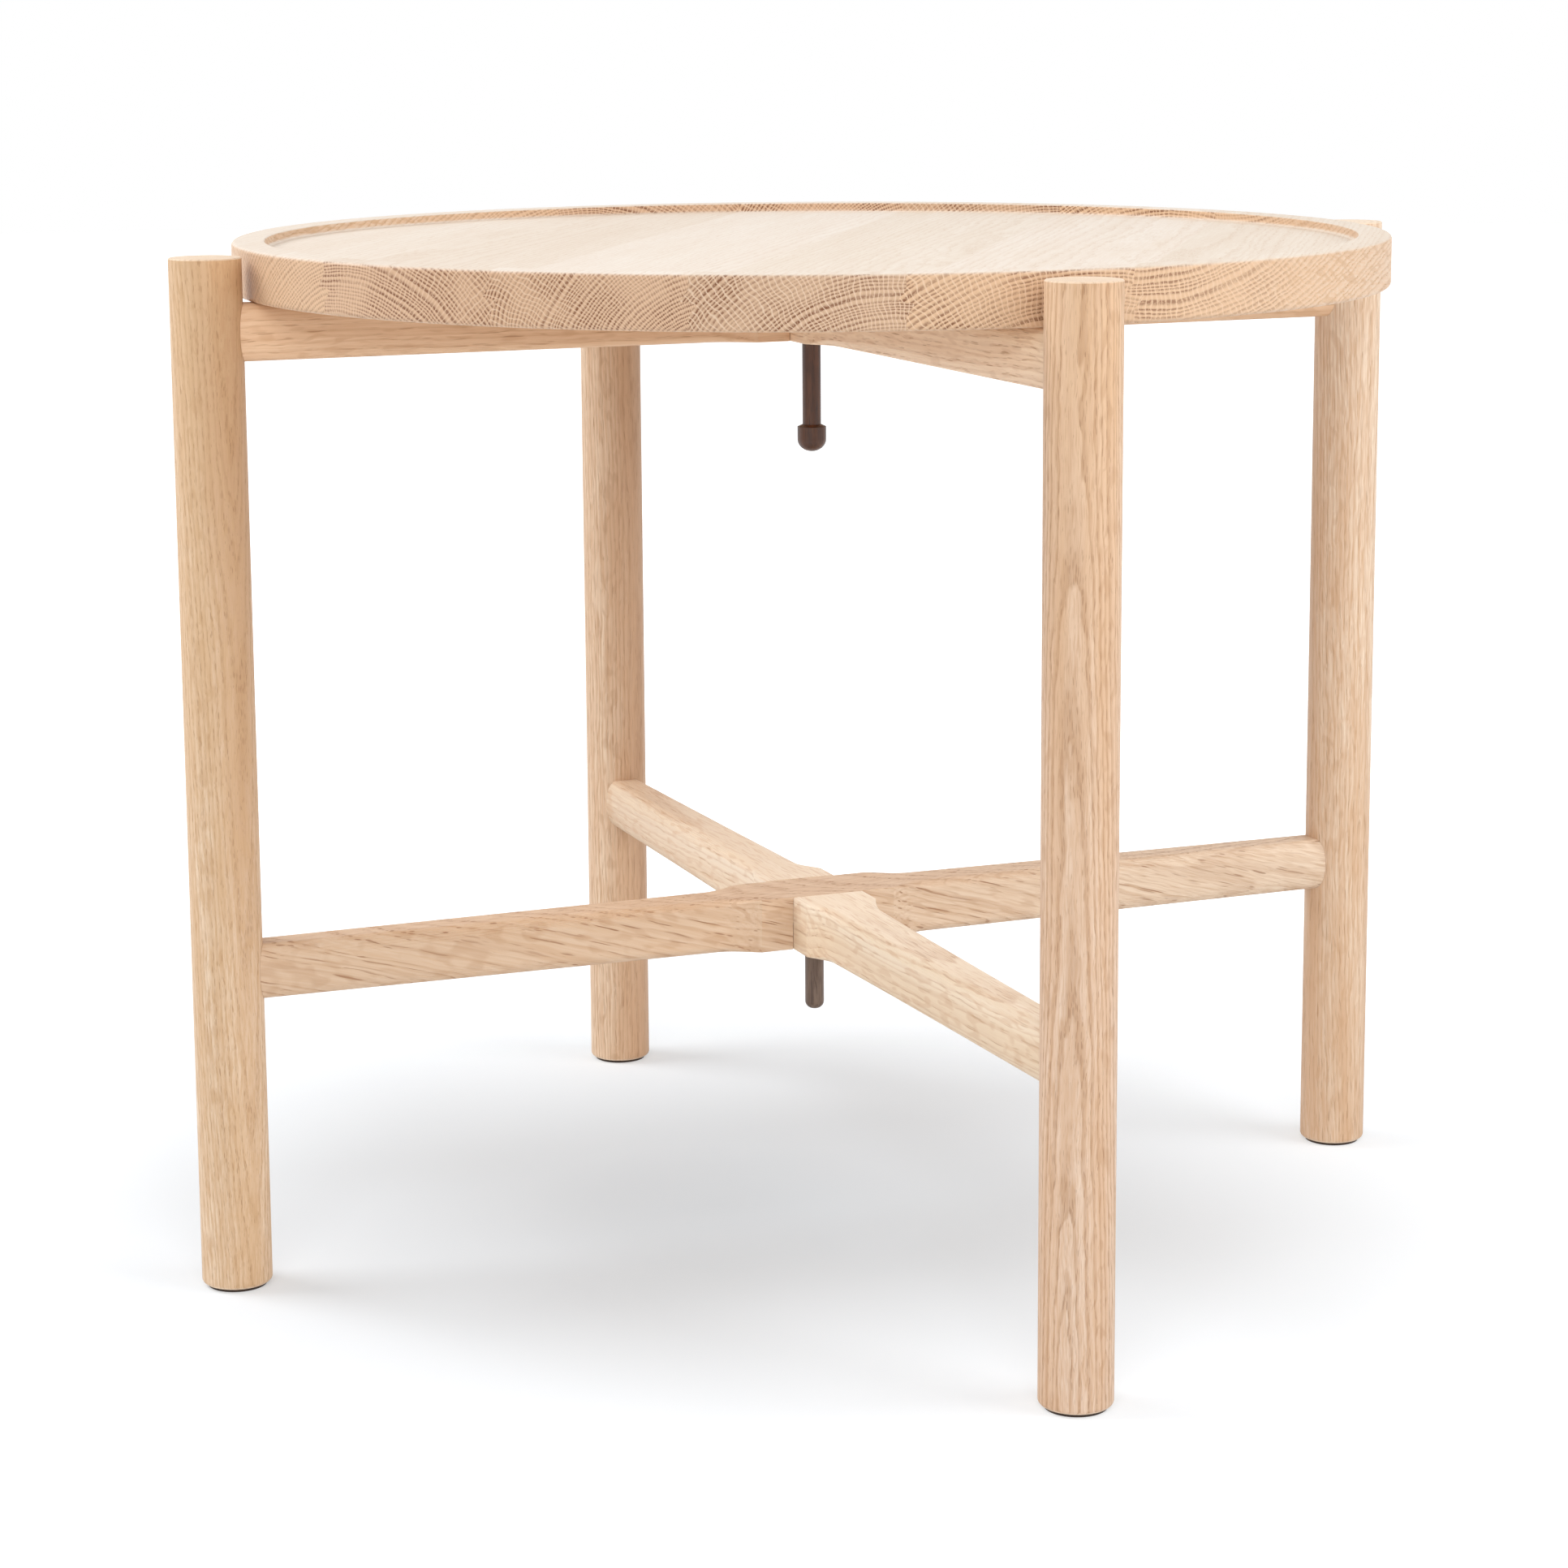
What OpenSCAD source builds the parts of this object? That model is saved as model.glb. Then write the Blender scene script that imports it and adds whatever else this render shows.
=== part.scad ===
// Round oak tray table on two crossing frames.
// Each frame is two round legs joined by an upper rail and a lower stretcher.
// The frames cross in square half-laps, and two pins at the centre guide one
// frame as it lifts out of the other. The tray rests on the rails between the legs.
// Origin: on the floor under the centre. +Z up, -Y towards the front.

/* [Table] */
// Height of the tray's rim above the floor
table_h = 530; // [480:1:600]
// How far the leg tops stay below the tray's rim
leg_drop = 3; // [0:0.5:10]
// Free space between the tray's edge and each leg
tray_gap = 4; // [1:0.5:6]

/* [Tray] */
// Outer diameter of the tray
tray_d = 600; // [540:5:700]
// Thickness of the tray at its rim
tray_t = 26; // [22:1:32]
// Width of the rim round the dish
rim_w = 17; // [12:1:28]
// Depth of the dish below the rim
dish_depth = 5; // [4:0.5:7]
// Rounding of the rim's outer top edge
rim_round = 2; // [0.5:0.5:3]
// Rounding of the rim's inner top edge
lip_round = 0.8; // [0.4:0.2:1.2]
// Hollow rounding at the foot of the dish wall
dish_fillet = 2; // [1:0.5:2.5]
// Rounding of the tray's lower edge
under_round = 2.5; // [1:0.5:4]
// Direction of the boards, turned from the front-to-back line
tray_turn = 12; // [0:1:45]

/* [Tray boards] */
// Width of the inner boards
board_w = 96; // [80:1:105]
// Sideways place of the middle glue line
board_shift = 1.5; // [-20:0.5:20]
// How far the zigzag of a glue line stands out to each side
zigzag_out = 3.8; // [2:0.2:5]
// Height of each sloping half of the zigzag
zigzag_h = 6.5; // [4:0.5:7]
// Height of the step across its middle
zigzag_step = 1.4; // [1:0.2:2]

/* [Legs and glides] */
// Diameter of the legs
leg_d = 36; // [30:1:44]
// Rounding of the leg's bottom edge
leg_round = 2.5; // [1:0.5:4]
// Bevel of the leg's top edge
leg_bevel = 0.6; // [0.2:0.2:1.5]
// Thickness of the glide under each leg
glide_t = 1.5; // [1:0.5:4]
// How far the glide stays inside the leg's flat end
glide_inset = 0.5; // [0:0.25:3]

/* [Rails and stretchers] */
// Height of the rails and stretchers
bar_h = 28.5; // [24:1:36]
// Width of the arms where they leave the crossing block
bar_w = 30; // [24:1:35]
// Width of the arms at the legs
end_w = 22.5; // [18:0.5:30]
// Width of the flat that is left on top of an arm next to the crossing block
bar_flat = 16; // [10:1:20]
// Width of that flat at the legs
end_flat = 11; // [6:1:14]
// Height of the rounding at an arm's edges next to the crossing block
bar_round_h = 4; // [2:0.5:8]
// Height of the rounding at the legs, where it takes nearly the whole side
end_round_h = 13; // [8:0.5:14]
// Width of the crossing block
block_w = 40; // [34:1:48]
// Length of the crossing block along its bar
block_l = 76; // [64:1:90]
// Length of the hollow shoulder from the block to the arm
shoulder_l = 22; // [14:1:32]
// Bevel-like rounding of the block's edges
block_round = 0.8; // [0.4:0.2:1.6]
// Height of the lower stretchers above the floor
stretcher_z = 151; // [120:1:220]

/* [Wood joints] */
// Diameter of the round tenons on the bars
tenon_d = 14; // [10:0.5:17]
// Length of the tenons inside the legs
tenon_l = 22; // [14:1:25]
// Glue space round tenons, pins and shoulders
glue_gap = 0.05; // [0.02:0.01:0.1]
// Space between the faces of a half-lap
lap_gap = 0.3; // [0.1:0.05:0.5]

/* [Pins and knob] */
// Diameter of the rod at the upper crossing
rod_d = 9.8; // [8:0.2:12]
// Bare length of the rod under the rail, the lifting stroke
lift_stroke = 45.5; // [30:1:60]
// Space left between knob and rail at the end of the stroke
stroke_rest = 0.5; // [0.3:0.1:1]
// Diameter of the knob
knob_d = 15.2; // [13.6:0.2:20]
// Height of the knob
knob_h = 14.4; // [12:0.2:20]
// Height of the knob's sloping shoulder
knob_shoulder = 1.2; // [0.6:0.2:2]
// Height of the knob's domed end
knob_dome = 6.4; // [5:0.2:7]
// Diameter of the pin at the lower crossing
pin_d = 10.2; // [8:0.2:12]
// Bare length of the lower pin under the stretcher
pin_tail = 39; // [25:1:55]
// Rounding of the lower pin's end
pin_round = 4; // [2:0.25:4.5]
// Depth of the glued seats of rod, pin and knob
seat_depth = 9.5; // [6:0.5:10]
// Running space round rod and pin in the frame that stays
pin_play = 0.08; // [0.05:0.01:0.1]

/* [Hidden] */
$fn = 96;
corner_steps = 9;
shoulder_steps = 12;
arc_steps = 6;
over = 1;

tray_r = tray_d / 2;
leg_r = leg_d / 2;
leg_circle_r = tray_r + tray_gap + leg_r;
tray_z = table_h - tray_t;
rail_z = tray_z - bar_h;
leg_top_z = table_h - leg_drop;
block_half = block_l / 2;
arm_start = block_half + shoulder_l;
shoulder_in = (block_w - bar_w) / 2;
shoulder_r = (pow(shoulder_l, 2) + pow(shoulder_in, 2)) / (2 * shoulder_in);
end_round = min(end_round_h, bar_h / 2 - block_round);
knob_top_z = rail_z - lift_stroke - stroke_rest;

oak = "#e2c4a0";
walnut = "#5a4236";
glide_brown = "#3a2f2a";

// Directions of the four legs seen from above
front_left = 225;
back_right = 45;
front_right = 315;
back_left = 135;

// Points on an arc round [x, z], from angle a to angle b
function arc(x, z, r, a, b) = [
    for (i = [0:arc_steps])
        let (t = a + (b - a) * i / arc_steps)
            [x + r * cos(t), z + r * sin(t)]
];

// Legs: turned round, rounded at the foot, drilled for the two tenons of their frame
module leg(turn) {
    foot_z = glide_t;
    color(oak)
        rotate([0, 0, turn])
            translate([leg_circle_r, 0, 0])
                difference() {
                    rotate_extrude()
                        polygon(concat(
                            [[0, foot_z]],
                            arc(leg_r - leg_round, foot_z + leg_round, leg_round, -90, 0),
                            [
                                [leg_r, leg_top_z - leg_bevel],
                                [leg_r - leg_bevel, leg_top_z],
                                [0, leg_top_z]
                            ]
                        ));
                    for (z = [rail_z, stretcher_z])
                        translate([-leg_r - over, 0, z + bar_h / 2])
                            rotate([0, 90, 0])
                                cylinder(h = over + tenon_l + over, d = tenon_d + 2 * glue_gap);
                }
}

// Glides: thin discs under the legs
module glide(turn) {
    color(glide_brown)
        rotate([0, 0, turn])
            translate([leg_circle_r, 0, 0])
                cylinder(h = glide_t, r = leg_r - leg_round - glide_inset);
}

// Share of the way along an arm at the distance s from the crossing: 0 up to the end of the
// shoulder, 1 at the leg's axis
function arm_share(s) =
    max(0, (abs(s) - arm_start) / (leg_circle_r - arm_start));

// Half width of a bar at the distance s from the crossing: block, hollow shoulder, tapering arm
function half_width(s) =
    abs(s) <= block_half ? block_w / 2
    : abs(s) < arm_start
        ? bar_w / 2 + shoulder_r - sqrt(pow(shoulder_r, 2) - pow(arm_start - abs(s), 2))
    : bar_w / 2 - (bar_w - end_w) / 2 * arm_share(s);

// Width of the flat and height of the rounding that an arm has at the distance s
function flat_width(s) = bar_flat + (end_flat - bar_flat) * arm_share(s);
function round_height(s) = bar_round_h + (end_round - bar_round_h) * arm_share(s);

// Share of that rounding at the distance s, with a soft run-out over the shoulder
function round_share(s) =
    let (t = max(0, min(1, (abs(s) - block_half) / shoulder_l)))
        t * t * (3 - 2 * t);

// Cross-section of a bar: a rectangle of half width w with elliptic corners
function bar_section(w, rw, rh) = [
    for (corner = [0:3])
        let (
            side = corner == 0 || corner == 1 ? 1 : -1,
            mid_z = corner == 1 || corner == 2 ? bar_h - rh : rh
        )
            for (i = [0:corner_steps])
                let (t = 90 * (corner - 1 + i / corner_steps))
                    [side * (w - rw) + rw * cos(t), mid_z + rh * sin(t)]
];

// Bar without joints: square block in the middle, rounded arms to the leg axes
module bar_blank() {
    shoulder = [for (i = [0:shoulder_steps]) block_half + shoulder_l * i / shoulder_steps];
    stations = concat(
        [-leg_circle_r],
        [for (i = [shoulder_steps:-1:0]) -shoulder[i]],
        shoulder,
        [leg_circle_r]
    );
    rings = [
        for (s = stations)
            let (share = round_share(s))
                [
                    for (p = bar_section(
                        half_width(s),
                        block_round + (half_width(s) - flat_width(s) / 2 - block_round) * share,
                        block_round + (round_height(s) - block_round) * share
                    ))
                        [s, p[0], p[1]]
                ]
    ];
    count = len(rings[0]);
    last = len(stations) - 1;
    points = [for (ring = rings) for (p = ring) p];
    sides = [
        for (k = [0:last - 1])
            for (i = [0:count - 1])
                let (
                    a = k * count + i,
                    b = k * count + (i + 1) % count
                )
                    for (face = [[a, a + count, b], [b, a + count, b + count]])
                        face
    ];
    caps = [
        [for (i = [0:count - 1]) i],
        [for (i = [count - 1:-1:0]) last * count + i]
    ];
    polyhedron(points = points, faces = concat(caps, sides), convexity = 4);
}

// Round tenons at both ends of a bar
module tenons() {
    for (side = [-1, 1])
        scale([side, 1, 1])
            translate([leg_circle_r - 2 * leg_r, 0, bar_h / 2])
                rotate([0, 90, 0])
                    cylinder(h = leg_r + tenon_l, d = tenon_d);
}

// Hollow seats that the round legs fit into
module leg_seats() {
    for (side = [-1, 1])
        translate([side * leg_circle_r, 0, -over])
            cylinder(h = bar_h + 2 * over, r = leg_r + glue_gap);
}

// Bar whose upper half crosses over the other frame, with a blind seat for its pin
module over_bar(pin) {
    union() {
        difference() {
            bar_blank();
            leg_seats();
            translate([-block_w / 2 - lap_gap, -block_w, -over])
                cube([block_w + 2 * lap_gap, 2 * block_w, over + (bar_h + lap_gap) / 2]);
            cylinder(h = (bar_h + lap_gap) / 2 + seat_depth, d = pin + 2 * glue_gap);
        }
        tenons();
    }
}

// Bar whose lower half crosses under the other frame, with a running hole for the pin
module under_bar(pin) {
    union() {
        difference() {
            bar_blank();
            leg_seats();
            translate([-block_w / 2 - lap_gap, -block_w, (bar_h - lap_gap) / 2])
                cube([block_w + 2 * lap_gap, 2 * block_w, bar_h]);
            translate([0, 0, -over])
                cylinder(h = bar_h, d = pin + 2 * pin_play);
        }
        tenons();
    }
}

module lifting_rail() {
    color(oak) rotate([0, 0, back_right]) translate([0, 0, rail_z]) over_bar(rod_d);
}

module lifting_stretcher() {
    color(oak) rotate([0, 0, back_right]) translate([0, 0, stretcher_z]) over_bar(pin_d);
}

module standing_rail() {
    color(oak) rotate([0, 0, front_right]) translate([0, 0, rail_z]) under_bar(rod_d);
}

module standing_stretcher() {
    color(oak) rotate([0, 0, front_right]) translate([0, 0, stretcher_z]) under_bar(pin_d);
}

// Rod: glued into the lifting rail, hangs through the standing rail and carries the knob
module stop_rod() {
    rod_end_z = knob_top_z - seat_depth + glue_gap;
    rod_top_z = rail_z + (bar_h + lap_gap) / 2 + seat_depth - glue_gap;
    color(walnut)
        translate([0, 0, rod_end_z])
            cylinder(h = rod_top_z - rod_end_z, d = rod_d);
}

// Knob: turned cap with a sloping shoulder and a domed end, the stop of the lift
module stop_knob() {
    knob_r = knob_d / 2;
    socket_r = rod_d / 2 + glue_gap;
    dome = [
        for (i = [0:2 * arc_steps])
            let (t = -90 + 90 * i / (2 * arc_steps))
                [knob_r * cos(t), knob_dome * (1 + sin(t))]
    ];
    color(walnut)
        translate([0, 0, knob_top_z - knob_h])
            difference() {
                rotate_extrude()
                    polygon(concat(
                        dome,
                        [
                            [knob_r, knob_h - knob_shoulder],
                            [socket_r, knob_h],
                            [0, knob_h]
                        ]
                    ));
                translate([0, 0, knob_h - seat_depth])
                    cylinder(h = seat_depth + over, r = socket_r);
            }
}

// Lower pin: glued into the lifting stretcher, runs through the standing one
module guide_pin() {
    pin_end_z = stretcher_z - pin_tail;
    pin_top_z = stretcher_z + (bar_h + lap_gap) / 2 + seat_depth - glue_gap;
    color(walnut)
        rotate_extrude()
            polygon(concat(
                [[0, pin_end_z]],
                arc(pin_d / 2 - pin_round, pin_end_z + pin_round, pin_round, -90, 0),
                [[pin_d / 2, pin_top_z], [0, pin_top_z]]
            ));
}

// Tray before it is divided into boards: a disc with a shallow dish
module tray_blank() {
    dish_r = tray_r - rim_w;
    floor_z = tray_t - dish_depth;
    translate([0, 0, tray_z])
        rotate_extrude($fn = 180)
            polygon(concat(
                [[0, 0]],
                arc(tray_r - under_round, under_round, under_round, -90, 0),
                arc(tray_r - rim_round, tray_t - rim_round, rim_round, 0, 90),
                arc(dish_r + lip_round, tray_t - lip_round, lip_round, 90, 180),
                arc(dish_r - dish_fillet, floor_z + dish_fillet, dish_fillet, 0, -90),
                [[0, floor_z]]
            ));
}

// Glue line k from below to above the tray: a zigzag, out to +X low and to -X high
function glue_line(k) =
    let (
        x = board_shift + k * board_w,
        mid_z = tray_z + tray_t / 2
    )
        [
            [x, tray_z - over],
            [x, mid_z - zigzag_h],
            [x + zigzag_out, mid_z - zigzag_step / 2],
            [x - zigzag_out, mid_z + zigzag_step / 2],
            [x, mid_z + zigzag_h],
            [x, table_h + over]
        ];

// Straight outer side beyond the tray's edge
function outer_side(x) = [[x, tray_z - over], [x, table_h + over]];

function reversed(list) = [for (i = [len(list) - 1:-1:0]) list[i]];

// One board of the tray, between the glue lines on its left and right
module board_between(left, right) {
    color(oak)
        rotate([0, 0, tray_turn])
            intersection() {
                tray_blank();
                rotate([90, 0, 0])
                    linear_extrude(height = tray_d + 2 * over, center = true)
                        polygon(concat(left, reversed(right)));
            }
}

module tray_board_1() { board_between(outer_side(-tray_r - over), glue_line(-2)); }
module tray_board_2() { board_between(glue_line(-2), glue_line(-1)); }
module tray_board_3() { board_between(glue_line(-1), glue_line(0)); }
module tray_board_4() { board_between(glue_line(0), glue_line(1)); }
module tray_board_5() { board_between(glue_line(1), glue_line(2)); }
module tray_board_6() { board_between(glue_line(2), outer_side(tray_r + over)); }

module leg_front_left() { leg(front_left); }
module leg_back_right() { leg(back_right); }
module leg_front_right() { leg(front_right); }
module leg_back_left() { leg(back_left); }

module glide_front_left() { glide(front_left); }
module glide_back_right() { glide(back_right); }
module glide_front_right() { glide(front_right); }
module glide_back_left() { glide(back_left); }

leg_front_left();
leg_back_right();
leg_front_right();
leg_back_left();
glide_front_left();
glide_back_right();
glide_front_right();
glide_back_left();
lifting_rail();
lifting_stretcher();
standing_rail();
standing_stretcher();
stop_rod();
stop_knob();
guide_pin();
tray_board_1();
tray_board_2();
tray_board_3();
tray_board_4();
tray_board_5();
tray_board_6();
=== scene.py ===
import bpy
import bmesh
from math import radians, sin, cos
from mathutils import Matrix, Vector


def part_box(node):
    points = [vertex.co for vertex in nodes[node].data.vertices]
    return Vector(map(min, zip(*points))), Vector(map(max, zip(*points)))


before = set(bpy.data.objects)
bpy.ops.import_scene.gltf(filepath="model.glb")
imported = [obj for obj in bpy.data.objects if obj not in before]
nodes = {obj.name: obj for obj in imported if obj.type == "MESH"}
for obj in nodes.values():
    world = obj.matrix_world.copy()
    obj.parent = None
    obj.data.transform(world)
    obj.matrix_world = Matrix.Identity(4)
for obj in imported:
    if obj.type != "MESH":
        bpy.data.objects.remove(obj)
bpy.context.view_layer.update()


# Legs: four round posts turned from solid white oak, sanded and soaped. The grain runs up the
# post, the growth rings are cut at a slant, and the open pores show as short upright dashes.
# The top and bottom edges are eased by hand.

def colour(hex_value):
    """Linear colour for an sRGB hex value."""
    parts = [int(hex_value[i:i + 2], 16) / 255 for i in (1, 3, 5)]
    return [p / 12.92 if p <= 0.04045 else ((p + 0.055) / 1.055) ** 2.4 for p in parts] + [1.0]


def add(tree, kind, inputs=None, **settings):
    """Adds a node with its settings; an input is given a value or the output that feeds it."""
    made = tree.nodes.new(kind)
    for name, value in settings.items():
        setattr(made, name, value)
    for socket, value in (inputs or {}).items():
        if isinstance(value, bpy.types.NodeSocket):
            tree.links.new(value, made.inputs[socket])
        else:
            made.inputs[socket].default_value = value
    return made


def grain_scale(across, along):
    """Scale that makes a pattern's cells this many mm wide across and long along the grain."""
    return (1 / across, 1 / across, 1 / along)


def oak(name, pith, turn, pale, tan, streak, pore, ring=2.6, rings=0.35, bands=0.5, pores=0.5,
        rays=0.3, wander=9.0, dash=10.0, pore_width=0.7, late=0.20, band=7.0, thread=30.0,
        end_grain_and_top_light="#ead0b2", end_dark="#9a6a45", end_rings=0.3, end_rays=0.2,
        edge_tone_and_shade="#ead0b2", edge_tone_and_shade_level=0.0, edge_figure=0.0,
        heart_and_shade_radius=30.0, heart_and_shade_tone="#b98c68", heart_and_shade_level=0.0, painted_light_and_shade_tone="#ead0b2", painted_light_and_shade_level=0.0):
    """White oak as a solid. pith is a point on the tree's heart in metres and turn lays the
    heart's line in degrees. In mm: ring is a year's growth, wander how far the grain strays, dash
    and pore_width a pore's size, band and thread the size of a band of tone and of a fibre, and the
    heartwood radius the size of the darker heart, whose darkening also paints shade down one side
    of a post and, by sparing its top, a painted highlight on top of one bar. The rest are colours
    and how strongly each feature shows."""
    material = bpy.data.materials.new(name)
    material.use_nodes = True
    tree = material.node_tree
    tree.nodes.clear()
    place = add(tree, "ShaderNodeTexCoord")
    # Millimetres from the heart of the tree, with Z along the grain
    log = add(tree, "ShaderNodeMapping", {
        "Vector": place.outputs["Object"], "Location": pith,
        "Rotation": [radians(a) for a in turn], "Scale": (0.001, 0.001, 0.001)},
        vector_type="TEXTURE").outputs[0]
    # The trunk isn't straight: the grain wanders over a hand's breadth
    slow = add(tree, "ShaderNodeVectorMath", {0: log, 1: grain_scale(42, 210)},
               operation="MULTIPLY").outputs[0]
    drift = add(tree, "ShaderNodeTexNoise", {"Vector": slow, "Scale": 1.0, "Detail": 2.0})
    drift = add(tree, "ShaderNodeVectorMath", {
        0: drift.outputs["Color"], 1: (wander, wander, 0),
        2: (-wander / 2, -wander / 2, 0)}, operation="MULTIPLY_ADD").outputs[0]
    bent = add(tree, "ShaderNodeVectorMath", {0: log, 1: drift}, operation="ADD").outputs[0]
    # End grain or long grain, by how far the surface faces along the grain
    facing = add(tree, "ShaderNodeMapping", {
        "Vector": place.outputs["Normal"], "Rotation": [radians(a) for a in turn]},
        vector_type="TEXTURE").outputs[0]
    facing = add(tree, "ShaderNodeSeparateXYZ", {0: facing}).outputs[2]
    facing = add(tree, "ShaderNodeMath", {0: facing}, operation="ABSOLUTE").outputs[0]
    end = add(tree, "ShaderNodeMapRange", {
        "Value": facing, "From Min": 0.35, "From Max": 0.8}).outputs[0]
    # Fine waver of the fibres, less on end grain, where rings and rays run true
    sway = 1.8
    waver = add(tree, "ShaderNodeVectorMath", {0: log, 1: grain_scale(4, 16)},
                operation="MULTIPLY").outputs[0]
    waver = add(tree, "ShaderNodeTexNoise", {"Vector": waver, "Scale": 1.0, "Detail": 1.0})
    waver = add(tree, "ShaderNodeVectorMath", {
        0: waver.outputs["Color"], 1: (sway, sway, 0), 2: (-sway / 2, -sway / 2, 0)},
        operation="MULTIPLY_ADD").outputs[0]
    steady = add(tree, "ShaderNodeMapRange", {"Value": end, "To Min": 1.0, "To Max": 0.35})
    waver = add(tree, "ShaderNodeVectorMath", {0: waver, "Scale": steady.outputs[0]},
                operation="SCALE").outputs[0]
    fine = add(tree, "ShaderNodeVectorMath", {0: bent, 1: waver}, operation="ADD").outputs[0]
    # Growth rings: distance from the heart, in years of uneven growth
    flat = add(tree, "ShaderNodeVectorMath", {0: fine, 1: (1, 1, 0)}, operation="MULTIPLY")
    radius = add(tree, "ShaderNodeVectorMath", {0: flat.outputs[0]},
                 operation="LENGTH").outputs["Value"]
    uneven = add(tree, "ShaderNodeTexNoise", {"W": radius, "Scale": 0.09, "Detail": 1.0},
                 noise_dimensions="1D").outputs[0]
    years = add(tree, "ShaderNodeMath", {0: uneven, 1: 3.0, 2: 0.0}, operation="MULTIPLY_ADD")
    years = add(tree, "ShaderNodeMath", {0: radius, 1: 1 / ring, 2: years.outputs[0]},
                operation="MULTIPLY_ADD").outputs[0]
    season = add(tree, "ShaderNodeMath", {0: years}, operation="FRACT").outputs[0]
    # Each year dark porous spring wood fades into plain summer wood; its large pores fade sooner
    spring = add(tree, "ShaderNodeValToRGB", {0: season})
    line = add(tree, "ShaderNodeValToRGB", {0: season})
    for curve, stops in ((spring, ((0.18, 0.75), (0.45, 0.12), (0.86, 0.05))),
                         (line, ((0.25, 1.0), (0.5, 0.15), (0.65, 0.0), (0.9, 0.0)))):
        ramp = curve.color_ramp
        ramp.elements[0].position, ramp.elements[0].color = 0.0, (1, 1, 1, 1)
        ramp.elements[1].position, ramp.elements[1].color = 1.0, (1, 1, 1, 1)
        for spot, level in stops:
            ramp.elements.new(spot).color = (level, level, level, 1)
    spring, line = spring.outputs[0], line.outputs[0]
    # Pores, 0.3 mm in real oak and drawn two or three times as wide so that they show
    cells = add(tree, "ShaderNodeVectorMath", {0: fine, 1: grain_scale(pore_width, dash)},
                operation="MULTIPLY").outputs[0]
    cells = add(tree, "ShaderNodeTexVoronoi", {"Vector": cells, "Scale": 1.0},
                voronoi_dimensions="3D", feature="F1")
    reach = add(tree, "ShaderNodeMath", {0: spring, 1: 0.50 - late, 2: late},
                operation="MULTIPLY_ADD")
    open_pore = add(tree, "ShaderNodeMath", {0: reach.outputs[0], 1: cells.outputs["Distance"]},
                    operation="SUBTRACT").outputs[0]
    open_pore = add(tree, "ShaderNodeMapRange", {
        "Value": open_pore, "From Min": -0.02, "From Max": 0.12}).outputs[0]
    # Not every pore is as dark
    odd = add(tree, "ShaderNodeSeparateColor", {0: cells.outputs["Color"]}).outputs[0]
    open_pore = add(tree, "ShaderNodeMath", {0: open_pore, 1: odd}, operation="MULTIPLY").outputs[0]
    # Rays: thin sheets that run out from the heart, seen as flecks or as fine cross lines
    sides = add(tree, "ShaderNodeSeparateXYZ", {0: fine})
    angle = add(tree, "ShaderNodeMath", {0: sides.outputs[1], 1: sides.outputs[0]},
                operation="ARCTAN2").outputs[0]
    # The angle as millimetres of arc, as far from the heart as most of a board is
    angle = add(tree, "ShaderNodeMath", {0: angle, 1: 62.0}, operation="MULTIPLY").outputs[0]
    outward = add(tree, "ShaderNodeMath", {0: radius, 1: 1 / 9}, operation="MULTIPLY").outputs[0]
    along = add(tree, "ShaderNodeMath", {0: sides.outputs[2], 1: 1 / 11},
                operation="MULTIPLY").outputs[0]
    sheet = add(tree, "ShaderNodeCombineXYZ", {0: angle, 1: outward, 2: along}).outputs[0]
    sheet = add(tree, "ShaderNodeTexNoise", {"Vector": sheet, "Scale": 1.0, "Detail": 0.0})
    ray = add(tree, "ShaderNodeMapRange", {
        "Value": sheet.outputs[0], "From Min": 0.56, "From Max": 0.70}).outputs[0]
    # On end grain the rays are uneven pale lines, 1.5 mm apart at that distance from the heart
    ray_step = 0.68
    jitter = add(tree, "ShaderNodeVectorMath", {0: fine, 1: grain_scale(11, 15)},
                 operation="MULTIPLY").outputs[0]
    jitter = add(tree, "ShaderNodeTexNoise", {"Vector": jitter, "Scale": 1.0, "Detail": 2.0})
    jitter = add(tree, "ShaderNodeMath", {0: jitter.outputs[0], 1: 2.4}, operation="MULTIPLY")
    net = add(tree, "ShaderNodeMath", {0: angle, 1: ray_step, 2: jitter.outputs[0]},
              operation="MULTIPLY_ADD").outputs[0]
    net = add(tree, "ShaderNodeMath", {0: net, 1: 0.5}, operation="PINGPONG").outputs[0]
    pale_ray = add(tree, "ShaderNodeMapRange", {
        "Value": net, "From Min": 0.15, "From Max": 0.05}).outputs[0]
    # They cut the year's row of large pores into a string of dark dots, each a little different
    grit = add(tree, "ShaderNodeVectorMath", {0: fine, 1: grain_scale(1.1, 16)},
               operation="MULTIPLY").outputs[0]
    grit = add(tree, "ShaderNodeTexNoise", {"Vector": grit, "Scale": 1.0, "Detail": 1.0})
    grit = add(tree, "ShaderNodeMapRange", {
        "Value": grit.outputs[0], "From Min": 0.36, "From Max": 0.52, "To Min": 0.4}).outputs[0]
    dots = add(tree, "ShaderNodeMath", {0: pale_ray, 1: -0.8, 2: 1.0},
               operation="MULTIPLY_ADD").outputs[0]
    rows = add(tree, "ShaderNodeMath", {0: grit, 1: line}, operation="MULTIPLY").outputs[0]
    rows = add(tree, "ShaderNodeMath", {0: rows, 1: dots}, operation="MULTIPLY").outputs[0]
    # Fine late pores stand in radial files between the rays
    files = add(tree, "ShaderNodeMapRange", {
        "Value": net, "From Min": 0.3, "From Max": 0.48}).outputs[0]
    files = add(tree, "ShaderNodeMath", {0: files, 1: grit}, operation="MULTIPLY").outputs[0]
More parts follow.
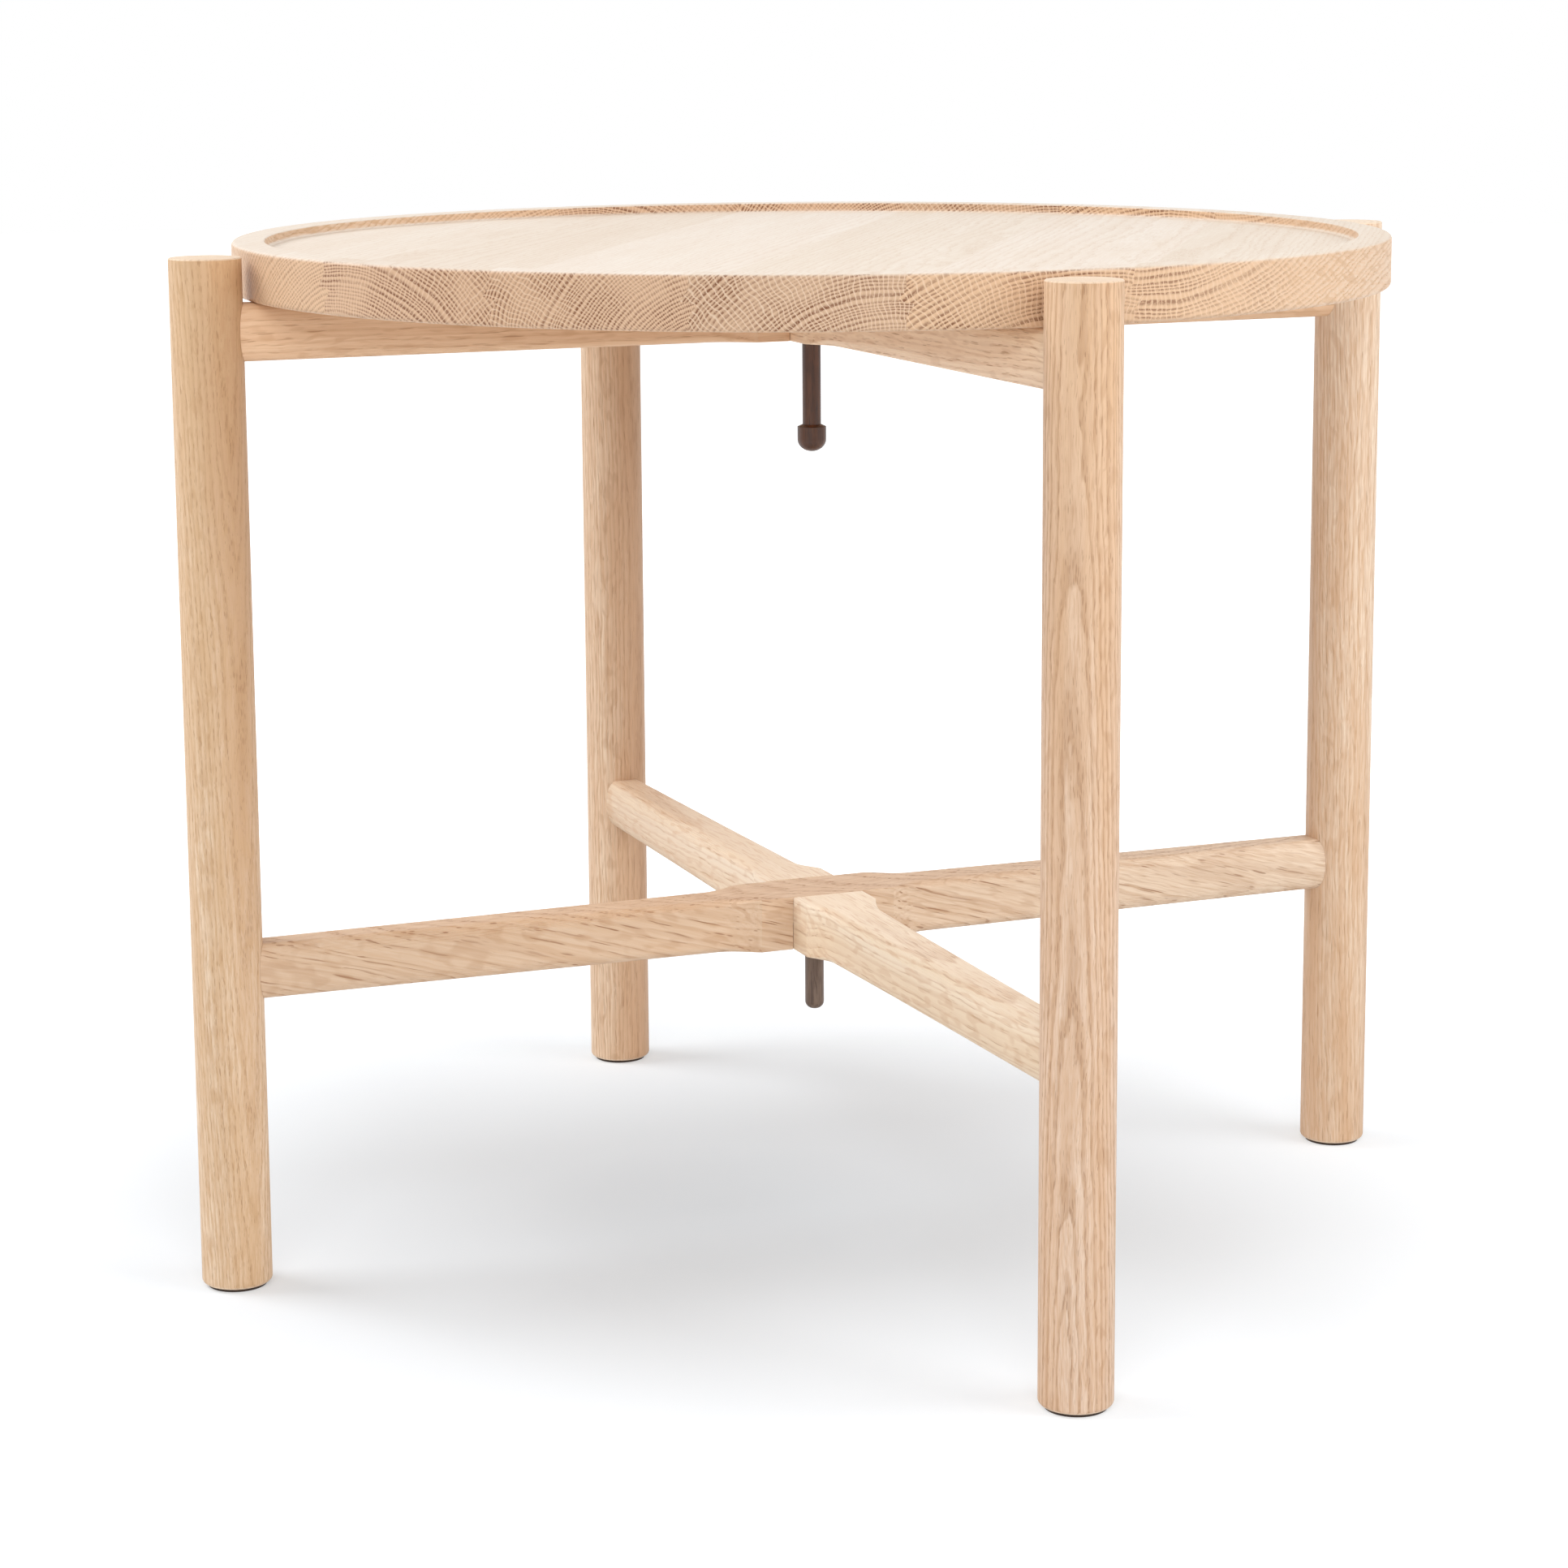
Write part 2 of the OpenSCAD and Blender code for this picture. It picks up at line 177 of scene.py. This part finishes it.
    # The figure comes and goes across a board
    patch = add(tree, "ShaderNodeVectorMath", {0: log, 1: grain_scale(26, 80)},
                operation="MULTIPLY").outputs[0]
    patch = add(tree, "ShaderNodeTexNoise", {"Vector": patch, "Scale": 1.0, "Detail": 1.0})
    patch = add(tree, "ShaderNodeMapRange", {
        "Value": patch.outputs[0], "From Min": 0.36, "From Max": 0.58, "To Min": 0.45}).outputs[0]
    rows = add(tree, "ShaderNodeMath", {0: rows, 1: patch}, operation="MULTIPLY").outputs[0]
    files = add(tree, "ShaderNodeMath", {0: files, 1: patch}, operation="MULTIPLY").outputs[0]
    # Soft bands of tone along the grain, and fine fibres
    broad = add(tree, "ShaderNodeVectorMath", {0: bent, 1: grain_scale(band, 190)},
                operation="MULTIPLY").outputs[0]
    broad = add(tree, "ShaderNodeTexNoise", {"Vector": broad, "Scale": 1.0, "Detail": 2.0,
                                             "Roughness": 0.6}).outputs[0]
    broad = add(tree, "ShaderNodeMapRange", {
        "Value": broad, "From Min": 0.34, "From Max": 0.68}).outputs[0]
    fibre = add(tree, "ShaderNodeVectorMath", {0: fine, 1: grain_scale(1.1, thread)},
                operation="MULTIPLY").outputs[0]
    fibre = add(tree, "ShaderNodeTexNoise", {"Vector": fibre, "Scale": 1.0, "Detail": 2.0,
                                             "Roughness": 0.7}).outputs[0]
    fibre = add(tree, "ShaderNodeMapRange", {
        "Value": fibre, "From Min": 0.36, "From Max": 0.66}).outputs[0]
    # A board's edge stands upright; its face lies flat, and the edge takes painted shade against
    # the face
    upright_figure_and_shade = add(tree, "ShaderNodeSeparateXYZ", {0: place.outputs["Normal"]}).outputs[2]
    upright_figure_and_shade = add(tree, "ShaderNodeMapRange", {
        "Value": upright_figure_and_shade, "From Min": 0.7, "From Max": 0.3}).outputs[0]

    def strength(on_face, on_end):
        """How strongly a feature shows: one level on long grain, another on end grain."""
        return add(tree, "ShaderNodeMapRange", {
            "Value": end, "To Min": on_face, "To Max": on_end}).outputs[0]

    def blend(under, over, amount, level):
        """Lays one colour over another where the feature is, as strongly as its level says."""
        amount = add(tree, "ShaderNodeMath", {0: amount, 1: level}, operation="MULTIPLY",
                     use_clamp=True).outputs[0]
        return add(tree, "ShaderNodeMix", {0: amount, 6: under, 7: over},
                   data_type="RGBA").outputs[2]

    shade = blend(colour(pale), colour(tan), broad, strength(bands, bands * 0.6))
    # Heartwood is darker and ends softly. The same darkening paints shade down one side of some
    # posts, and where it spares the top of one bar it leaves a painted highlight there
    soft = 8
    heart_and_shade_mask = add(tree, "ShaderNodeMapRange", {
        "Value": radius, "From Min": heart_and_shade_radius + soft, "From Max": heart_and_shade_radius - soft}).outputs[0]
    shade = blend(shade, colour(heart_and_shade_tone), heart_and_shade_mask, heart_and_shade_level)
    # Painted light and shade: the tone drifts towards one end of the grain, darker at the tops of
    # three posts under the tray and along one bar's back arm, lighter at the top of the back right
    # post and along the other bar's back arm
    light_and_shade_ramp = add(tree, "ShaderNodeSeparateXYZ", {0: log}).outputs[2]
    light_and_shade_ramp = add(tree, "ShaderNodeMapRange", {
        "Value": light_and_shade_ramp, "From Min": -60, "From Max": 240}).outputs[0]
    shade = blend(shade, colour(painted_light_and_shade_tone), light_and_shade_ramp, painted_light_and_shade_level)
    # The edge is tanner than the face, partly its own tone and partly painted shade against a face
    # whose pale colours paint the light from above, and its figure is stronger
    shade = blend(shade, colour(edge_tone_and_shade), upright_figure_and_shade, edge_tone_and_shade_level)
    bold = add(tree, "ShaderNodeMath", {0: upright_figure_and_shade, 1: edge_figure},
               operation="MULTIPLY").outputs[0]

    def figure(level):
        """A feature's strength on long grain, with the edge's share added; none on end grain."""
        level = add(tree, "ShaderNodeMath", {0: bold, 1: level}, operation="ADD").outputs[0]
        return add(tree, "ShaderNodeMapRange", {"Value": end, "To Min": level,
                                                "To Max": 0.0}).outputs[0]

    shade = blend(shade, colour(tan), fibre, strength(bands, bands * 0.25))
    shade = blend(shade, colour(streak), spring, figure(rings))
    shade = blend(shade, colour(pore), open_pore, figure(pores))
    shade = blend(shade, colour(streak), ray, figure(rays))
    shade = blend(shade, colour(end_grain_and_top_light), end, 0.7)
    shade = blend(shade, colour("#f2dfc8"), pale_ray, strength(0.0, end_rays))
    shade = blend(shade, colour(end_dark), files, strength(0.0, end_rays * 0.6))
    shade = blend(shade, colour(end_dark), rows, strength(0.0, end_rings))
    rough = add(tree, "ShaderNodeMapRange", {
        "Value": open_pore, "To Min": 0.5, "To Max": 0.75}).outputs[0]
    # Pores and the lines between fibres lie a little deeper than the rest
    depth = add(tree, "ShaderNodeMath", {0: fibre, 1: 0.25, 2: open_pore},
                 operation="MULTIPLY_ADD").outputs[0]
    bump = add(tree, "ShaderNodeBump", {
        "Height": depth, "Strength": 0.35, "Distance": 0.0002}, invert=True).outputs[0]
    surface = add(tree, "ShaderNodeBsdfPrincipled", {
        "Base Color": shade, "Roughness": rough, "Normal": bump, "IOR": 1.45})
    add(tree, "ShaderNodeOutputMaterial", {"Surface": surface.outputs[0]})
    return material


leg_looks = {
    # heart of the tree from the post's middle in mm, tilt of the grain in degrees, colours,
    # length of a pore dash in mm, width of a band of tone in mm, radius of the darker heartwood
    # in mm and how strongly it shows, which also paints shade down one side of the post, painted
    # shade towards the top (painted light on the back right post) and how strongly it shows, and
    # how strongly the year rings show
    "leg_front_left": ((35, -15), (-1.0, -2.3), "#e9d1b6", "#cfaa82", "#b98f64", "#8a5e38", 5, 12,
                       20, 0.85, "#d9ac78", 0.3, 0.35),
    "leg_front_right": ((4, -38), (1.5, 0.15), "#edd6c1", "#d4b090", "#ad8058", "#7d5230", 7, 9,
                        34, 0.15, "#dcae78", 0.45, 0.5),
    "leg_back_left": ((37, -7), (-0.1, -0.5), "#f2ddc4", "#d0aa87", "#ae8561", "#8c6140", 12, 14,
                      28, 0.75, "#d2a780", 0.2, 0.3),
    "leg_back_right": ((-38, -18), (-0.9, -1.1), "#efdbc4", "#d1aa86", "#c0956e", "#90633f", 12,
                       14, 30, 0.4, "#fff0dc", 0.45, 0.3),
}
for name, (heart, tilt, pale, tan, streak, pore, dash, band, heart_and_shade_radius, heart_and_shade_level, painted_light_and_shade_tone, painted_light_and_shade_level,
           rings) in leg_looks.items():
    low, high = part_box(name)
    middle = [(a + b) / 2 for a, b in zip(low, high)]
    # The posts' end grain is given a pale cream that paints the light falling on their tops
    material = oak("soaped_oak_" + name,
                   (middle[0] + heart[0] / 1000, middle[1] + heart[1] / 1000, middle[2]),
                   (tilt[0], tilt[1], 0), pale, tan, streak, pore,
                   bands=0.8, pores=0.45, rings=rings, dash=dash, pore_width=0.55, band=band,
                   thread=2.5 * dash, end_grain_and_top_light="#f0dac0", heart_and_shade_radius=heart_and_shade_radius, heart_and_shade_level=heart_and_shade_level,
                   painted_light_and_shade_tone=painted_light_and_shade_tone, painted_light_and_shade_level=painted_light_and_shade_level)
    nodes[name].data.materials[0] = material


# Glides: thin dark brown felt discs, pressed and stuck under each leg. Only their edge shows, as a
# fine dark line where the leg meets the floor.

felt = bpy.data.materials.new("pressed_wool_felt")
felt.use_nodes = True
felt.node_tree.nodes.clear()
tree = felt.node_tree
place = add(tree, "ShaderNodeTexCoord").outputs["Object"]
# Wool fibres are 0.03 mm; their clumps are drawn 0.6 mm across so that they show
clump = add(tree, "ShaderNodeTexNoise", {"Vector": place, "Scale": 1600.0, "Detail": 3.0})
shade = add(tree, "ShaderNodeMix", {0: clump.outputs[0], 6: colour("#2e2420"),
                                    7: colour("#54443a")}, data_type="RGBA").outputs[2]
bump = add(tree, "ShaderNodeBump", {"Height": clump.outputs[0], "Strength": 0.6,
                                    "Distance": 0.0002}).outputs[0]
surface = add(tree, "ShaderNodeBsdfPrincipled", {
    "Base Color": shade, "Roughness": 0.95, "Normal": bump, "Sheen Weight": 0.3})
add(tree, "ShaderNodeOutputMaterial", {"Surface": surface.outputs[0]})
for corner in ("front_left", "front_right", "back_left", "back_right"):
    nodes["glide_" + corner].data.materials[0] = felt


# Rails and stretchers: four oak bars, each sawn from one piece and shaped with a square block at
# the crossing, hollow shoulders and rounded arms, half-lapped over each other in pairs.

bar_looks = {
    # turn of the grain, heart of the tree in mm across and up from the bar's middle, colours,
    # year's growth and a pore dash's length and width in mm, how strongly the dashes show, tone
    # towards the back, painted light on the lifting stretcher and painted shade on the standing
    # stretcher, and how strongly it shows, radius of the darker heartwood in mm and how strongly it
    # shows, which leaves a pale top on one bar as a painted highlight
    "lifting_rail": ((0, 90, 45), (20, -60), "#ebc7a4", "#d7ac86", "#bf9067", "#8e5c38",
                     3.5, 14, 0.8, 0.5, "#c8a98c", 0.0, 30, 0.0),
    "standing_rail": ((0, 90, 135), (-30, -50), "#f5dabb", "#e0bb99", "#c49973", "#8e5c38",
                      3.0, 12, 0.8, 0.55, "#c8a98c", 0.0, 30, 0.0),
    "lifting_stretcher": ((0, 106, 45), (22, 74), "#dac0a6", "#cca987", "#b08560", "#8a5b3a",
                          5.0, 24, 1.1, 0.75, "#f2dfc9", 0.6, 30, 0.0),
    "standing_stretcher": ((0, 91, 135), (0, -60), "#fbefdd", "#ead6bb", "#c2946c", "#9a6a46",
                           4.0, 24, 0.9, 0.4, "#c8a98c", 0.75, 66, 0.6),
}
for name, (turn, heart, pale, tan, streak, pore, ring, dash, pore_width, pores, painted_light_and_shade_tone,
           painted_light_and_shade_level, heart_and_shade_radius, heart_and_shade_level) in bar_looks.items():
    low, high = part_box(name)
    side = radians(turn[2] + 90)
    material = oak("soaped_oak_" + name,
                   (cos(side) * heart[0] / 1000, sin(side) * heart[0] / 1000,
                    (low[2] + high[2]) / 2 + heart[1] / 1000),
                   turn, pale, tan, streak, pore,
                   ring=ring, rings=0.3, bands=0.5, pores=pores, dash=dash,
                   pore_width=pore_width, late=0.05, wander=13.0, thread=40.0, painted_light_and_shade_tone=painted_light_and_shade_tone,
                   painted_light_and_shade_level=painted_light_and_shade_level, heart_and_shade_radius=heart_and_shade_radius, heart_and_shade_tone="#d4b48e", heart_and_shade_level=heart_and_shade_level)
    nodes[name].data.materials[0] = material


# Stop rod, stop knob and guide pin: turned from dark walnut, rubbed with oil. The rod and the pin
# are straight dowels glued up into the frame that lifts; the knob is glued on the rod's end.

def walnut(name, brown, pale, vein):
    """Walnut with its grain up the pin: soft bands of tone and fine dark veins."""
    material = bpy.data.materials.new(name)
    material.use_nodes = True
    tree = material.node_tree
    tree.nodes.clear()
    place = add(tree, "ShaderNodeTexCoord").outputs["Object"]
    # Walnut pores are about 0.2 mm wide and drawn 0.6 mm wide so that they show
    line = add(tree, "ShaderNodeVectorMath", {0: place, 1: (1500, 1500, 90)},
               operation="MULTIPLY").outputs[0]
    line = add(tree, "ShaderNodeTexNoise", {"Vector": line, "Scale": 1.0, "Detail": 3.0,
                                            "Roughness": 0.6}).outputs[0]
    soft = add(tree, "ShaderNodeVectorMath", {0: place, 1: (330, 330, 45)},
               operation="MULTIPLY").outputs[0]
    soft = add(tree, "ShaderNodeTexNoise", {"Vector": soft, "Scale": 1.0, "Detail": 2.0})
    soft = add(tree, "ShaderNodeMapRange", {
        "Value": soft.outputs[0], "From Min": 0.35, "From Max": 0.65}).outputs[0]
    shade = add(tree, "ShaderNodeMix", {0: soft, 6: colour(brown), 7: colour(pale)},
                data_type="RGBA").outputs[2]
    dark = add(tree, "ShaderNodeMapRange", {
        "Value": line, "From Min": 0.52, "From Max": 0.72}).outputs[0]
    shade = add(tree, "ShaderNodeMix", {0: dark, 6: shade, 7: colour(vein)},
                data_type="RGBA").outputs[2]
    bump = add(tree, "ShaderNodeBump", {
        "Height": line, "Strength": 0.25, "Distance": 0.0002}).outputs[0]
    surface = add(tree, "ShaderNodeBsdfPrincipled", {
        "Base Color": shade, "Roughness": 0.38, "Normal": bump, "IOR": 1.45})
    add(tree, "ShaderNodeOutputMaterial", {"Surface": surface.outputs[0]})
    return material


# Two copies of the same walnut: the rod and knob's darker one paints the shade under the tray, the
# pin's lighter, greyer one paints the light from the floor below
walnut_shaded_copy = walnut("oiled_walnut_shaded_copy", "#472a1a", "#5d3923", "#321f17")
nodes["stop_rod"].data.materials[0] = walnut_shaded_copy
nodes["stop_knob"].data.materials[0] = walnut_shaded_copy
nodes["guide_pin"].data.materials[0] = walnut("oiled_walnut_lit_copy", "#594539", "#746052", "#3e2e25")


# Tray: six oak boards glued edge to edge with a zigzag line and turned on a faceplate, with a
# shallow dish inside a flat rim. End grain shows round the front and back of its edge.

boards_turn = 12      # degrees that the tray is turned about the upright
board_width = 96      # mm
middle_line = 1.5     # mm from the centre to the glue line between boards 3 and 4
board_middle = 0.517  # height of the boards' middle in metres
lean = 0.6            # degrees that neighbouring boards' grain leans to opposite sides
board_looks = (
    # board, heart across and up from its middle in mm, ring width in mm, how strongly the rings
    # and rays show on end grain, pale colour of the end grain, two colours of the face, whose
    # paleness is partly painted light from above
    (1, (70, -55), 2.0, 0.60, 0.15, "#d1ab87", "#eadfd2", "#e1d0be"),
    (2, (-38, -72), 2.1, 0.90, 0.20, "#caa484", "#e7dacb", "#ddcbb8"),
    (3, (62, -44), 1.9, 0.95, 0.25, "#cda786", "#ece2d6", "#e4d4c4"),
    (4, (46, -84), 1.9, 0.95, 0.30, "#c9a789", "#e9ddcf", "#dfcebb"),
    (5, (26, -96), 2.2, 0.95, 0.20, "#d6b18d", "#ebe0d4", "#e2d1bf"),
    (6, (-44, 84), 2.3, 0.85, 0.20, "#d6b18d", "#e7dbcc", "#ddcbb8"),
)
for number, heart, ring, ring_strength, ray_strength, end_grain_and_top_light, pale, tan in board_looks:
    across = middle_line + (number - 3.5) * board_width + heart[0]
    turn = radians(boards_turn)
    material = oak("soaped_oak_board_%d" % number,
                   (cos(turn) * across / 1000, sin(turn) * across / 1000,
                    board_middle + heart[1] / 1000),
                   (90, lean * (-1) ** number, boards_turn),
                   pale, tan, "#c39c76", "#a97f58",
                   ring=ring, rings=0.14, bands=0.6, pores=0.14, rays=0.05, wander=6.0,
                   band=18.0, thread=45.0, end_grain_and_top_light=end_grain_and_top_light, end_dark="#744424",
                   end_rings=ring_strength, end_rays=ray_strength, edge_tone_and_shade="#d8b18c", edge_tone_and_shade_level=0.9,
                   edge_figure=0.45, late=0.1)
    nodes["tray_board_%d" % number].data.materials[0] = material


# Floor: a seamless sheet of matt white paper under the table. It keeps the table's soft shadow,
# whose pool its glow partly paints, and fades to white all round.

def seen_itself(tree):
    """1 where the camera, a gloss or clear glass sees the surface, 0 where it only sheds light."""
    path = add(tree, "ShaderNodeLightPath")
    either = add(tree, "ShaderNodeMath", {0: path.outputs["Is Camera Ray"],
                                          1: path.outputs["Is Glossy Ray"]}, operation="MAXIMUM")
    return add(tree, "ShaderNodeMath", {0: either.outputs[0],
                                        1: path.outputs["Is Transmission Ray"]},
               operation="MAXIMUM").outputs[0]


paper = bpy.data.materials.new("matt_white_paper")
paper.use_nodes = True
paper.node_tree.nodes.clear()
tree = paper.node_tree
seen = seen_itself(tree)
# White paper lights the table from below; seen itself it is toned down, so its shadow shows
tone = add(tree, "ShaderNodeMix", {0: seen, 6: colour("#f3f5f7"), 7: colour("#c4c9ce")},
           data_type="RGBA").outputs[2]
diffuse = add(tree, "ShaderNodeBsdfDiffuse", {"Color": tone}).outputs[0]
# The paper glows more the farther it is from a point under the table, so it fades to plain
# white away from the table; near it the glow paints the soft pool of the table's shadow
shadow_middle = (-0.05, -0.02, 0.0)
reach = 1.4
place = add(tree, "ShaderNodeTexCoord").outputs["Object"]
away = add(tree, "ShaderNodeVectorMath", {0: place, 1: shadow_middle},
           operation="DISTANCE").outputs["Value"]
away = add(tree, "ShaderNodeMath", {0: away, 1: 1 / reach}, operation="MULTIPLY").outputs[0]
away = add(tree, "ShaderNodeValToRGB", {0: away})
ramp = away.color_ramp
ramp.interpolation = "B_SPLINE"
ramp.elements[0].position, ramp.elements[0].color = 0.0, (0, 0, 0, 1)
ramp.elements[1].position, ramp.elements[1].color = 0.82, (1, 1, 1, 1)
for spot, level in ((0.08, 0.1), (0.2, 0.34), (0.32, 0.54), (0.5, 0.8)):
    ramp.elements.new(spot).color = (level, level, level, 1)
away = away.outputs[0]
shadow_pool_glow = add(tree, "ShaderNodeMath", {0: seen, 1: away}, operation="MULTIPLY").outputs[0]
glow = add(tree, "ShaderNodeEmission", {"Color": (1, 1, 1, 1), "Strength": shadow_pool_glow}).outputs[0]
surface = add(tree, "ShaderNodeAddShader", {0: diffuse, 1: glow}).outputs[0]
add(tree, "ShaderNodeOutputMaterial", {"Surface": surface})
mesh = bpy.data.meshes.new("paper_floor")
sheet = bmesh.new()
bmesh.ops.create_circle(sheet, cap_ends=True, segments=96, radius=9.0)
sheet.to_mesh(mesh)
sheet.free()
mesh.materials.append(paper)
floor = bpy.data.objects.new("paper_floor", mesh)
bpy.context.scene.collection.objects.link(floor)


# Light: a white studio tent that is even all round, with a large soft box to the left, one to the
# right and one high in front, so the outer sides of the legs are brighter than the inner ones.

world = bpy.data.worlds.new("studio_tent")
bpy.context.scene.world = world
world.use_nodes = True
world.node_tree.nodes.clear()
tree = world.node_tree
tent = add(tree, "ShaderNodeBackground", {"Color": (1, 1, 1, 1), "Strength": 0.44}).outputs[0]
white = add(tree, "ShaderNodeBackground", {"Color": (1, 1, 1, 1), "Strength": 1.0}).outputs[0]
mixed = add(tree, "ShaderNodeMixShader", {0: seen_itself(tree), 1: tent, 2: white}).outputs[0]
add(tree, "ShaderNodeOutputWorld", {"Surface": mixed})

target = Vector((0.0, 0.0, 0.3))
soft_boxes = (
    # name, place, side of the box in metres, power in watts
    ("box_left", (-2.34, -0.54, 2.28), 1.8, 57.0),
    ("box_right", (1.76, 0.08, 1.34), 1.3, 18.0),
    ("box_front", (0.9, -2.4, 1.7), 1.8, 31.0),
)
for name, spot, size, power in soft_boxes:
    lamp = bpy.data.lights.new(name, "AREA")
    lamp.shape, lamp.size, lamp.energy = "SQUARE", size, power
    holder = bpy.data.objects.new(name, lamp)
    holder.location = spot
    holder.rotation_euler = (target - Vector(spot)).to_track_quat("-Z", "Y").to_euler()
    holder.visible_camera = False
    bpy.context.scene.collection.objects.link(holder)


# Camera: a long lens a little above the tray, turned to see the stand across its corner.

eye = (0.7703, -1.8296, 0.6526)
heading, down, roll = 23.277, 9.96, -0.355  # degrees
lens = bpy.data.cameras.new("camera")
lens.sensor_width, lens.lens, lens.shift_y = 36.0, 86.82, -0.08
lens.clip_start, lens.clip_end = 0.05, 60.0
camera = bpy.data.objects.new("camera", lens)
camera.matrix_world = (Matrix.Translation(eye) @ Matrix.Rotation(radians(heading), 4, "Z")
                       @ Matrix.Rotation(radians(90 - down), 4, "X")
                       @ Matrix.Rotation(radians(roll), 4, "Z"))
bpy.context.scene.collection.objects.link(camera)
bpy.context.scene.camera = camera
bpy.context.scene.view_settings.view_transform = "Standard"
